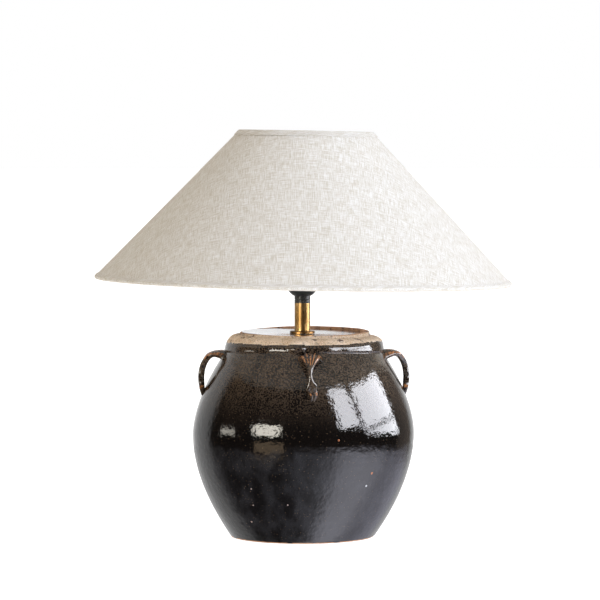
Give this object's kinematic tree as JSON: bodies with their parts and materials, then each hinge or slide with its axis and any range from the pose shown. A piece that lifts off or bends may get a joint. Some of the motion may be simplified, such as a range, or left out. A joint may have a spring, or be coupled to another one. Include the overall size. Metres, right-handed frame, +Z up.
{
  "type": "table lamp",
  "caption": "Table lamp: round glazed stoneware jar with strap lugs, brass stem on a cover plate, screw-in lampholder and wide conical linen shade.",
  "frame": {"origin": "centre of the jar's foot, on the surface it stands on", "axes": "+Z up along the stem, -Y towards the front, +X to the right seen from the front"},
  "size_m": [0.4998, 0.5, 0.4877],
  "materials": {
    "glaze": "dark brown-black wood-ash glaze, glossy above and satin below, over tan stoneware",
    "polished_plate": "polished",
    "brass": "satin, lacquered",
    "black_enamel": "gloss black",
    "zinc_steel": "zinc plated",
    "black_rubber": "matte",
    "black_plastic": "satin moulded",
    "contact_block": "unglazed steatite",
    "white_wire": "powder coated",
    "white_liner": "matte laminate",
    "linen": "plain-weave natural linen",
    "nickel_cap": "satin",
    "black_glass": "glossy vitreous insulator",
    "clear_glass": "clear",
    "filament": "phosphor-coated strips"
  },
  "bodies": {
    "base": {"jar": "glaze", "lug_front": "glaze", "lug_right": "glaze", "lug_back": "glaze", "lug_left": "glaze", "cover_plate": "polished_plate", "base_washer": "brass", "stem_tube": "brass", "stem_collar": "black_enamel", "threaded_rod": "zinc_steel", "clamp_bar": "zinc_steel", "clamp_washer": "zinc_steel", "clamp_nut": "zinc_steel", "cord_grommet": "black_rubber", "holder_cup": "black_plastic", "holder_insert": "contact_block", "centre_contact": "brass", "side_contacts": "brass", "terminal_screws": "zinc_steel", "holder_skirt": "black_plastic", "lower_shade_ring": "black_plastic"},
    "clamp_ring": {"upper_shade_ring": "black_plastic"},
    "shade": {"spider_ring": "white_wire", "spider_arms": "white_wire", "bottom_wire_ring": "white_wire", "top_wire_ring": "white_wire", "shade_liner": "white_liner", "shade_fabric": "linen", "bottom_hem": "linen", "top_hem": "linen"},
    "bulb_tip": {"bulb_contact": "nickel_cap"},
    "bulb": {"bulb_cap": "nickel_cap", "bulb_insulator": "black_glass", "bulb_glass": "clear_glass", "bulb_stem": "clear_glass", "bulb_filament": "filament"}
  },
  "joints": [
    {"name": "shade_turn", "type": "hinge", "parent": "base", "child": "shade", "pos_m": [0, 0, 0.3192], "axis": [0, 0, 1], "continuous": true},
    {"name": "ring_turn", "type": "hinge", "parent": "base", "child": "clamp_ring", "pos_m": [0, 0, 0.3228], "axis": [0, 0, 1], "range_deg": [0, 360]},
    {"name": "bulb_turn", "type": "hinge", "parent": "bulb_tip", "child": "bulb", "pos_m": [0, 0, 0.3215], "axis": [0, 0, 1], "range_deg": [0, 1800]},
    {"name": "bulb_rise", "type": "slide", "parent": "base", "child": "bulb_tip", "axis": [0, 0, 1], "range_m": [0, 0.01816]}
  ],
  "couplings": [
    {"joint": "bulb_rise", "follows": "bulb_turn", "m_per_rad": 0.00057773}
  ]
}
